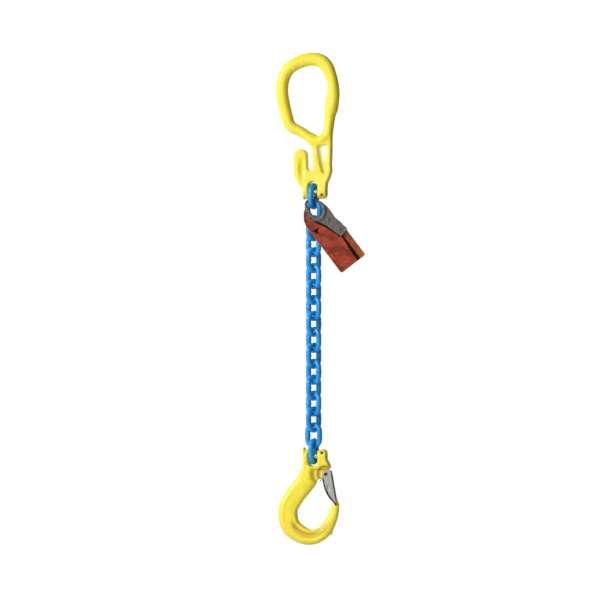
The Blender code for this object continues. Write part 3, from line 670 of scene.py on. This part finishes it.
def hook_head_outline():
    left, right, pin = SLOT_LOW_X - THIN_EAR, SLOT_HIGH_X + LOCK_EAR, HOOK_PIN_Z
    top = pin + EAR_RADIUS + 2
    return [
        (left, top - 4), (left + 2, top - 0.8), (left + 5, top + 1), (SLOT_LOW_X - 0.5, top - 1),
        (SLOT_HIGH_X + 1, top - 4), (SLOT_HIGH_X + 4, top - 1), (right - 3.5, top - 1.5), (right, top - 6),
        (right, pin - 5), (right + 3, pin - 10), (right + 5.5, pin - 16), (right + 4.5, pin - 20),
        (right - 6.5, pin - 20.5), (right - 7.6, pin - 29), (right - 11, pin - 37), (CHAIN_X + 4, pin - 40),
        (CHAIN_X - 10, pin - 37), (left - 3, pin - 25), (left + 0.4, pin - 17),
    ]


def about(point, offsets):
    """The offsets, placed about a point."""
    return [(point[0] + x, point[1] + z) for x, z in offsets]


def boss_outline():
    near = about(LATCH_AXIS, [(-18, -5), (-18, 9), (5, 9)])
    return near + arc(LATCH_AXIS, 6.4, 60, -120, 14) + about(LATCH_AXIS, [(-11, -7.5)])


def latch_pocket_outline():
    near = about(LATCH_AXIS, [(12, 6.9)]) + arc(LATCH_AXIS, LATCH_POCKET, 160, 285, 24)
    return near + about(LATCH_AXIS, [(12, -19)])


LATCH_CHEEK = [(-5.5, 3.4), (-4, 5), (6.5, 5), (7.9, 4), (14.8, -36), (17.3, -46.2), (15.8, -47.8),
               (11.5, -42.4), (4.4, -34.1), (-1.3, -22.6), (-4.7, -9.6)]


def latch_swing(x, z):
    """Distance to all that the latch's cheeks pass over as they open."""
    swept = []
    for turn in np.radians(np.arange(0, 37, 2.25)):
        c, s = math.cos(turn), math.sin(turn)
        turned = about(LATCH_AXIS, [(a * c + b * s, b * c - a * s) for a, b in LATCH_CHEEK])
        swept.append(polygon(turned, x, z))
    return np.minimum.reduce(swept)


def sling_hook():
    grid = Grid((-52, -14, -728), (54, 14, -570), 0.7)
    x, y, z = grid.x, grid.y, grid.z

    def panel(side, row, wide, deep):
        along = step_up(row, 1.2, 2.4) * (1 - step_up(row, 6.2, 7.4))
        face = step_up(0.78 - side, 0.0, 0.22) * step_up(side + 0.52, 0.0, 0.3)
        scoop = hump(side, 0.60, 0.26) * step_up(row, 3.3, 4.6) * (1 - step_up(row, 7.2, 8.4))
        return wide, deep - 0.95 * along * face - 1.9 * scoop

    bar = forged_bar(hook_stations(), 2.8, False, x, y, z, panel)
    outline = soften(polygon(hook_head_outline(), x, z), 5)
    head = both(outline, polygon(depth_outline(HOOK_PIN_Z, 1, HOOK_PIN_Z - 60, SHANK_HALF), y, z), 2.8)
    head = np.minimum(head, long_ear(hook_head_outline(), x, y, z, HOOK_PIN_Z, 1, HOOK_EAR_EXTRA))
    field = union(bar, head, 5.0)
    recess = soften(polygon(latch_pocket_outline(), x, z), 5) + 0.8 * (SHANK_HALF - np.abs(y)) - 1.6
    field = cut(field, np.maximum(recess, BOSS_HALF - np.abs(y)), 3.2)
    # Relief for the latch, near its axis only: for its cheeks, then for its web and the spring's leg
    reach = np.hypot(x - LATCH_AXIS[0], z - LATCH_AXIS[1])
    swept = np.maximum(latch_swing(x, z) - 0.9, reach - 27)
    beyond = BOSS_HALF + LATCH_GAP + LATCH_SHEET + 1.0
    field = cut(field, both(swept, np.abs(y) - beyond, 0.3), 0.8)
    boss = both(soften(polygon(boss_outline(), x, z), 2), np.maximum(-BOSS_HALF - y, y - BOSS_BACK), 0.8)
    field = union(field, boss, 0.8)
    field = cut_clevis(field, grid, HOOK_PIN_Z, 1)
    web = np.maximum(np.maximum(swept - 1.8, reach - 24), 15.6 - reach)
    field = cut(field, np.maximum(web, np.abs(y) - beyond), 0.3)
    pivot = np.hypot(x - LATCH_AXIS[0], z - LATCH_AXIS[1]) - LATCH_PIN_D / 2 - GAP
    field = cut(field, pivot + 0 * y, 0.3)
    nub = np.sqrt((x - 33.4) ** 2 + (y / 1.8) ** 2 + ((z + 703.4) / 1.2) ** 2) - 2.2
    field = union(field, nub, 2.4)
    ridge = 0.16 * hump(y, 0, 0.9) * step_up(-600 - z, 0, 12)
    field = soften(field, 1) + forged_skin(x, y, z, 0.07) - ridge
    piece("hook_forging", *grid.surface(field), HOOK_YELLOW, "hook", "sling_hook", "yellow_paint")


# --- chain and pins ---

def link_lay(number):
    from_end = LINKS - number
    if number <= 2:
        lay = TOP_LAY[number - 1]
    else:
        lay = BOTTOM_LAY[1 - from_end] if from_end < 2 else LAY
    return math.radians(lay + (0 if number % 2 else 90))


def chain_link(number):
    """A welded link: the weld stands a little proud in the middle of one side."""
    lay = link_lay(number)
    front = np.array((-math.sin(lay), -math.cos(lay), 0.0))
    centre = np.array((CHAIN_X, 0.0, FIRST_LINK_Z - (number - 1) * PITCH))
    bend, straight = (INNER_WIDTH + WIRE_D) / 2, (INNER_LENGTH - INNER_WIDTH) / 2
    flat = []
    for half in (1, -1):
        flat += [(half * bend * math.cos(a), half * (straight + bend * math.sin(a)))
                 for a in np.linspace(0, math.pi, 21)]
        flat += [(-half * bend, half * s) for s in np.linspace(straight, -straight, 12)[1:-1]]
    flat = np.array(flat)
    weld_side = flat[:, 0] * (1 if number % 3 else -1) > bend * 0.9
    weld = np.where(weld_side, hump(np.abs(flat[:, 1]), 1.1, 0.9) * 0.32 + hump(flat[:, 1], 0, 2.4) * 0.10, 0)
    radii = WIRE_D / 2 + weld - 0.06 * np.abs(np.sin(flat[:, 1] * 0.9 + number))
    points = centre + flat[:, :1] * front + flat[:, 1:] * np.array((0, 0, 1.0))
    body = f"link_{number:02d}"
    piece(f"{body}_bar", *tube(points, radii, 28, True), BLUE, body, f"chain_{body}", "blue_paint")


def load_pin(prefix, body, pin_z):
    radius, end, neck = LOAD_PIN_D / 2, 0.8, LOCK_PIN_D / 2 + GAP
    low, high = SLOT_LOW_X - THIN_EAR + end - CHAIN_X, SLOT_HIGH_X + LOCK_EAR - end - CHAIN_X
    at = LOCK_X - CHAIN_X
    tip = [(0.9, 1.0), (0.3, 2.4), (0.0, 2.7), (0.0, radius - 1.0), (0.25, radius - 0.45), (0.9, radius)]
    groove = [(neck + 1.2, radius), (neck + 0.9, radius - 0.2), (neck, NECK_D / 2)]
    profile = [(low + a, r) for a, r in tip] + [(at - a, r) for a, r in groove]
    profile += [(at + a, r) for a, r in groove[::-1]] + [(high - a, r) for a, r in tip[::-1]]
    obj = piece(f"{prefix}_load_pin_turned", *lathe((CHAIN_X, 0, pin_z), "X", profile), BRIGHT, body,
                f"{prefix}_load_pin", "dark_steel")
    crease(obj, 35)


def lock_pin(prefix, body, pin_z, chain_side):
    """A rolled spring pin: a slotted tube with chamfered ends."""
    centre = (LOCK_X, pin_z + chain_side * LOCK_OFFSET)
    outer, inner, slit, sides = LOCK_PIN_D / 2, LOCK_PIN_D / 2 - LOCK_PIN_WALL, 25, 28
    end = EAR_RADIUS - 1
    rings = []
    for y, less in ((-end, 0.35), (-end + 0.5, 0.0), (end - 0.5, 0.0), (end, 0.35)):
        section = arc(centre, outer - less, slit, 360 - slit, sides)
        section += arc(centre, inner, 360 - slit, slit, sides)
        rings += [(px, y, pz) for px, pz in section]
    size = 2 * (sides + 1)
    faces = []
    for i in range(3):
        faces += [(i * size + k, i * size + (k + 1) % size, (i + 1) * size + (k + 1) % size,
                   (i + 1) * size + k) for k in range(size)]
    for base, turned in ((0, True), (3 * size, False)):
        for k in range(sides):
            quad = (base + k, base + k + 1, base + size - 2 - k, base + size - 1 - k)
            faces.append(quad[::-1] if turned else quad)
    obj = piece(f"{prefix}_lock_pin_rolled", rings, faces, DARK, body, f"{prefix}_lock_pin", "dark_steel")
    crease(obj, 30)


# --- latch and spring ---

def latch():
    near = [(-3.0, -16.5), (-1.3, -22.6), (1.2, -28.6), (4.4, -34.1), (8.6, -39.2)]
    web = near + [(x + LATCH_SHEET * 0.85, z + LATCH_SHEET * 0.5) for x, z in reversed(near)]
    inner = BOSS_HALF + LATCH_GAP
    outer = inner + LATCH_SHEET
    ax, az = LATCH_AXIS
    grid = Grid((ax - 9, -10, az - 51), (ax + 20, 10, az + 8), 0.36)
    x, y, z = grid.x, grid.y, grid.z
    sides = both(soften(polygon(about(LATCH_AXIS, LATCH_CHEEK), x, z), 3),
                 np.abs(np.abs(y) - (inner + outer) / 2) - LATCH_SHEET / 2, 0.4)
    fold = both(soften(polygon(about(LATCH_AXIS, web), x, z), 1), np.abs(y) - outer, 0.7)
    field = union(sides, fold, 0.9)
    dent = both(np.hypot(x - ax - 5.2, (z - az + 20) * 0.35) - 2.0, np.abs(np.abs(y) - outer) - 0.35, 0.2)
    field = cut(field, dent, 0.8)
    hole = np.hypot(x - ax, z - az) - LATCH_PIN_D / 2 - GAP
    field = cut(field, hole + 0 * y, 0.3)
    fold_line = np.array(about(LATCH_AXIS, [(-5.0, -8.0), (-3.9, -14), (-1.3, -22.6), (4.4, -34.1),
                                            (11.5, -42.4), (16.6, -47.4)]))
    # The fold along the latch's web and its tip get the painted shade.
    piece("latch_channel", *grid.surface(field), PLATED, "latch", "latch", "plated_steel",
          (LATCH_SHADE, lambda x, y, z: (along_path(fold_line, False, x, z)[0] < 2.5) | (z < az - 44.5)))
    rivet_rows = [(-0.7, 0.4), (-0.75, 1.3), (-1.0, 2.1), (-1.25, 2.4), (-1.1, 2.9), (-0.7, 3.3), (0.0, 3.45),
                  (0.0, LATCH_PIN_D / 2)]
    head = outer + GAP
    profile = [(-head + a, r) for a, r in rivet_rows] + [(head - a, r) for a, r in reversed(rivet_rows)]
    # The middle of the rivet's head gets the painted shade.
    pin = piece("latch_rivet", *lathe((ax, 0, az), "Y", profile), PLATED, "hook", "latch_pin", "plated_steel",
                (LATCH_SHADE, lambda x, y, z: np.hypot(x - ax, z - az) < 2.3))
    crease(pin, 40)


def latch_spring():
    """The coil and its leg on the shank ride on the hook, and the other leg on the latch."""
    radius = LATCH_PIN_D / 2 + GAP + SPRING_WIRE_D / 2
    first_y = BOSS_BACK + GAP + SPRING_WIRE_D / 2
    turned = SPRING_END - SPRING_START - 360 * SPRING_TURNS
    last_y = first_y - SPRING_PITCH * turned / 360
    share = np.linspace(0, 1, 97)
    angle = np.radians(SPRING_START + turned * share)
    coil = np.stack([radius * np.cos(angle), first_y + (last_y - first_y) * share, radius * np.sin(angle)], 1)
    axis = np.array((LATCH_AXIS[0], 0, LATCH_AXIS[1]))
    fixed = np.vstack([[(-9.2, first_y, -11.2), (-8.3, first_y, -8.8), (-6.8, first_y, -5.7)], coil]) + axis
    moving = np.linspace(coil[-1], (-4.4, last_y, -16.8), 8) + axis
    wire = SPRING_WIRE_D / 2
    piece("latch_spring_coil", *tube(fixed, wire, 14, False), DARK, "hook", "latch_spring", "plated_steel")
    piece("latch_spring_leg", *tube(moving, wire, 14, False), DARK, "latch", None, "plated_steel")


# --- identity tag ---

def tag_place(points, tilt):
    """World points from (along, depth, across), about the tag's eye."""
    angle = math.radians(tilt)
    a, y, b = points.T
    x = TAG_EYE[0] + a * math.sin(angle) + b * math.cos(angle)
    z = TAG_EYE[1] - a * math.cos(angle) + b * math.sin(angle)
    return np.stack([x, y, z], 1)


def tag_local(x, z, tilt):
    angle = math.radians(tilt)
    x, z = x - TAG_EYE[0], z - TAG_EYE[1]
    return x * math.sin(angle) - z * math.cos(angle), x * math.cos(angle) + z * math.sin(angle)


def rivet_holes(tilt):
    """(along, across) of both rivets, which sit on the clip, in the lines of a tilted piece."""
    out = []
    for along in (20, 42):
        (x, _, z), = tag_place(np.array([[along, 0, 0]], float), CLIP_TILT)
        out.append(tag_local(x, z, tilt))
    return out


def ring_path():
    """From behind the first link's front bar, over the leaf's lobe, and round the eyelet's front."""
    front = FRONT_LEAF_Y - LEAF_T - GAP - TAG_RING_D / 2
    offsets = [
        (0.5, -4.4, -1.9), (-2.6, -4.1, -2.7), (-6.4, -4.6, -5.4), (-9.4, -7.7, -8.9), (-9.8, -12.9, -12.2),
        (-8.6, -17.4, -15.6), (-6.2, front, -21.0), (-2.6, front, -27.0), (1.2, front, -31.4),
        (5.4, front, -34.2),
        (10.4, front, -35.2), (16.2, front, -32.0), (19.6, front, -23.0), (17.4, front, -14.6),
        (12.4, -13.8, -10.2), (7.0, -8.8, -7.0), (3.4, -6.0, -4.3),
    ]
    return smooth_path([(CHAIN_X + x, y, FIRST_LINK_Z + z) for x, y, z in offsets], 6, True)


def tag_clip():
    """The wire ring and the pressed clip in one, in the clip's own lines."""
    hole = [(9.3 * math.cos(math.radians(k)), 9.3 * math.sin(math.radians(k))) for k in range(-48, 49, 12)]
    end = CLIP_LENGTH
    outline = [(1, 15.0), (8, 14.6), (16, 12.6), (26, 9.6), (end - 10, 8.4), (end - 1.5, 8.2),
               (end, 6.7), (end, -5.9), (end - 1.5, -7.4), (end - 10, -7.6), (24, -8.4), (14, -10.6),
               (6, -13.4), (0, -15.0), *hole]
    path = ring_path()
    along, across = tag_local(path[:, 0], path[:, 2], CLIP_TILT)
    local = np.stack([along, path[:, 1], across], 1)
    low, high = local.min(0) - 3.2, local.max(0) + 3.2
    grid = Grid((low[0], min(low[1], CLIP_Y - 3), min(low[2], -14)),
                (end + 2, high[1], max(high[2], 15)), 0.45)
    a, y, b = grid.x, grid.y, grid.z
    ring = along_path(local, True, a, y, b)[0] - TAG_RING_D / 2
    front = local[int(np.argmax(local[:, 1] < -16.8)):]
    front = front[front[:, 1] < -10.0]
    flat_far, row, _ = along_path(front[:, [0, 2, 1]], False, a, b)
    flat_y = np.interp(row, np.arange(len(front)), front[:, 1])
    wider = 1.2 + 1.5 * np.where(row > len(front) / 2, step_up(-flat_y, 10.0, 15.0),
                                 step_up(-flat_y, 17.0, 18.3))
    ring = union(ring, both(flat_far - wider, np.abs(y - flat_y) - 1.3, 0.7), 0.6)
    flat = soften(polygon(outline, a, b), 3)
    rise = 0.22 * hump(b, 0.4, 3.2) * step_up(a, 24, 28) * (1 - step_up(a, end - 9, end - 5))
    crimp = 0.28 * (hump(a, 26, 0.8) + hump(a, 35.5, 0.8) + hump(a, end - 3.2, 0.8))
    sheet = both(flat, np.maximum(CLIP_Y - CLIP_SHEET - y - rise + crimp, y - CLIP_Y), 0.45)
    field = union(ring, sheet, 1.6)
    for hole_a, hole_b in rivet_holes(CLIP_TILT):
        field = cut(field, np.hypot(a - hole_a, b - hole_b) - RIVET_D / 2 - GAP + 0 * y, 0.3)
    points, faces = grid.surface(field)
    piece("tag_ring_and_clip", tag_place(points, CLIP_TILT), faces, CLIP, "tag", "tag_clip", "dark_steel")


def leaf(name, node, low_y, right, look, slot, detail, second=None):
    left = LEAF_EDGE - LEAF_WIDTH
    notch = [(-1.9 + 11.5 * math.cos(math.radians(k)), -5.7 + 11.5 * math.sin(math.radians(k)))
             for k in range(60, -151, -10)]
    outline = [(LEAF_END, left + 1.5), (LEAF_END, right - 1.5), (LEAF_END - 1.5, right), (right + 16, right),
               (12, 12.4), (4, 11.6), (-0.5, 10.5), (-0.5, 8.0), (2.2, 6.4), *notch, (-14.5, -8.2),
               (-16.3, -9.2), (-14.5, -15.5), (-9.5, -20.5), (-2.5, -25.2), (6, left), (LEAF_END - 1.5, left)]
    grid = Grid((-20, low_y - 1, left - 3), (LEAF_END + 3, low_y + LEAF_T + 1, max(right, 13) + 3),
                (0.5, 0.27, 0.5))
    a, y, b = grid.x, grid.y, grid.z
    flat = soften(polygon(outline, a, b), 4)
    sunk = detail(a, b, flat)
    field = both(flat, np.maximum(low_y + sunk - y, y - low_y - LEAF_T), 0.4)
    for hole_a, hole_b in rivet_holes(TAG_TILT):
        field = cut(field, np.hypot(a - hole_a, b - hole_b) - RIVET_D / 2 - GAP + 0 * y, 0.3)
    points, faces = grid.surface(field)
    piece(name, tag_place(points, TAG_TILT), faces, look, "tag", node, slot, second)


def seam_edge(a):
    """Where the front leaf's face ends and the seam beside the rear leaf, painted dark as shadow, starts."""
    return LEAF_EDGE - LEAF_STEP - 0.8 - 4.4 * step_up(a, 20, 98)


def arrow(a, b):
    """A small pointed window."""
    centre = np.array((12.6, -249.4))
    points = centre + np.array([(-5.6, 0.3), (-1.6, 1.4), (5.4, 5.2), (3.6, 0.4), (3.0, -4.8), (0.2, -2.6)])
    return polygon(np.stack(tag_local(points[:, 0], points[:, 1], TAG_TILT), 1), a, b)


def front_detail(a, b, flat):
    """A rim, ruled lines and blank fields along the leaf, the pointed window and the seam."""
    sunk = 0.42 * step_up(-flat, 1.7, 2.3) * (1 - step_up(b, seam_edge(a) - 1.7, seam_edge(a) - 1.2))
    for line, low, high in ((-1.8, 34, 84), (-5.4, 40, 80), (-9.6, 44, 86), (-20.0, 46, 84)):
        sunk = sunk + 0.5 * hump(b, line, 0.6) * step_up(a, low, low + 1) * (1 - step_up(a, high, high + 1))
    for line, low, high in ((46, -20, -10), (64, -20, -10), (84, -20, -10)):
        sunk = sunk + 0.45 * hump(a, line, 0.55) * step_up(b, low, low + 1) * (1 - step_up(b, high, high + 1))
    sunk = sunk + 1.0 * step_up(b, seam_edge(a) - 0.2, seam_edge(a) + 0.4) * step_up(a, 30, 36)
    return np.minimum(sunk + 1.2 * step_up(-arrow(a, b), -0.3, 0.4), 1.3)


def below_clip(x, z):
    """A line of painted shadow along the clip's lower edge."""
    a, b = tag_local(x, z, CLIP_TILT)
    edge = np.interp(a, (6, 14, 24, CLIP_LENGTH), (-13.4, -10.6, -8.4, -7.4))
    width = 3.2 * step_up(a, 2, 12) * (1 - 0.4 * step_up(a, 20, 40))
    return (b < edge + 0.6) & (b > edge - width) & (a > 4) & (a < CLIP_LENGTH - 1)


def in_painted_shadow(x, y, z):
    """The front leaf's faces painted dark as shadow: seam, pointed window and the line below the clip."""
    a, b = tag_local(x, z, TAG_TILT)
    dark = ((b > seam_edge(a)) & (a > 32)) | (arrow(a, b) < 0.1) | below_clip(x, z)
    return dark & (y < FRONT_LEAF_Y - 0.1)


def rear_detail(a, b, flat):
    return 0.3 * step_up(-flat, 1.7, 2.3)


def tag_rivets():
    low, high = CLIP_Y - CLIP_SHEET - GAP, REAR_LEAF_Y + GAP
    head = [(-1.0, 0.6), (-0.95, 1.3), (-0.75, 2.1), (-0.4, 2.75), (0.0, 3.0), (0.0, RIVET_D / 2)]
    profile = [(low + a, r) for a, r in head] + [(high - a, r) for a, r in reversed(head)]
    for name, along in {"upper": 20, "lower": 42}.items():
        (x, _, z), = tag_place(np.array([[along, 0, 0]], float), CLIP_TILT)
        obj = piece(f"tag_rivet_{name}_domed", *lathe((x, 0, z), "Y", profile, 32), CLIP, "tag",
                    f"tag_rivet_{name}", "dark_steel")
        crease(obj, 40)


# --- studio ---

def camera():
    aim, distance, azimuth = Vector((-0.01364, -0.0024, -0.3528)), 6.0, math.radians(10)
    data = bpy.data.cameras.new("camera")
    data.lens, data.sensor_width = 239.0, 36.0
    obj = bpy.data.objects.new("camera", data)
    obj.location = aim + distance * Vector((math.sin(azimuth), -math.cos(azimuth), 0.0))
    obj.rotation_euler = (math.radians(90), 0, azimuth)
    bpy.context.scene.collection.objects.link(obj)
    bpy.context.scene.camera = obj


def lamp(name, place, size, power, colour=(1.0, 1.0, 1.0)):
    """A round light aimed at the middle of the sling."""
    data = bpy.data.lights.new(name, "AREA")
    data.shape, data.size, data.energy, data.color = "DISK", size, power, colour
    obj = bpy.data.objects.new(name, data)
    obj.location = place
    obj.rotation_euler = (Vector((0, 0, -0.35)) - Vector(place)).to_track_quat("-Z", "Y").to_euler()
    bpy.context.scene.collection.objects.link(obj)


def world():
    """White behind everything; as light, much brighter from the left than from the right."""
    made = bpy.data.worlds.new("studio")
    bpy.context.scene.world = made
    made.use_nodes = True
    tree = made.node_tree
    tree.nodes.clear()
    kinds = ("OutputWorld", "Background", "Background", "MixShader", "TexCoord", "SeparateXYZ", "MapRange",
             "LightPath")
    out, white, soft, mix, place, apart, ramp, rays = (tree.nodes.new("ShaderNode" + kind) for kind in kinds)
    white.inputs["Strength"].default_value = 1.0
    white.inputs["Color"].default_value = (1, 1, 1, 1)
    for name, value in (("From Min", -0.9), ("From Max", 0.8), ("To Min", 0.95), ("To Max", 0.03)):
        ramp.inputs[name].default_value = value
    links = ((place.outputs["Generated"], apart.inputs[0]), (apart.outputs["X"], ramp.inputs["Value"]),
             (ramp.outputs[0], soft.inputs["Strength"]), (rays.outputs["Is Camera Ray"], mix.inputs[0]),
             (soft.outputs[0], mix.inputs[1]), (white.outputs[0], mix.inputs[2]),
             (mix.outputs[0], out.inputs[0]))
    for start, end in links:
        tree.links.new(start, end)


def floor():
    radius, low = 2.25, -1.0
    mesh = bpy.data.meshes.new("floor")
    turn = np.linspace(0, 2 * math.pi, 128, endpoint=False)
    rim = [(radius * math.cos(a), radius * math.sin(a), low) for a in turn]
    mesh.from_pydata(rim, [], [tuple(range(len(rim)))])
    mesh.materials.append(floor_look())
    obj = bpy.data.objects.new("floor", mesh)
    bpy.context.scene.collection.objects.link(obj)


camera()
world()
lamp("key_light", (-2.4, -2.3, 1.0), 1.3, 88)
lamp("front_light", (-0.3, -3.6, 0.5), 1.4, 24)
lamp("back_light", (-1.0, 3.0, 0.8), 1.4, 40)
lamp("warm_fill", (3.2, 0.6, 0.3), 2.2, 2.6, (1.0, 0.66, 0.32))
floor()
bpy.context.scene.view_settings.view_transform = "Standard"
bpy.context.scene.view_settings.look = "None"

master_grab()
sling_hook()
for link in range(1, LINKS + 1):
    chain_link(link)
for prefix, body, pin_z, chain_side in (("top", "grab", TOP_PIN_Z, -1), ("hook", "hook", HOOK_PIN_Z, 1)):
    load_pin(prefix, body, pin_z)
    lock_pin(prefix, body, pin_z, chain_side)
latch()
latch_spring()
tag_clip()
# The front leaf's seam, pointed window and the line below the clip are painted dark as shadow.
leaf("tag_front_leaf_moulded", "tag_front_leaf", FRONT_LEAF_Y - LEAF_T, LEAF_EDGE - LEAF_STEP, RED,
     "red_plastic", front_detail, (TAG_SHADOW, in_painted_shadow))
leaf("tag_rear_leaf_moulded", "tag_rear_leaf", REAR_LEAF_Y - LEAF_T, LEAF_EDGE, ORANGE,
     "orange_plastic", rear_detail)
tag_rivets()
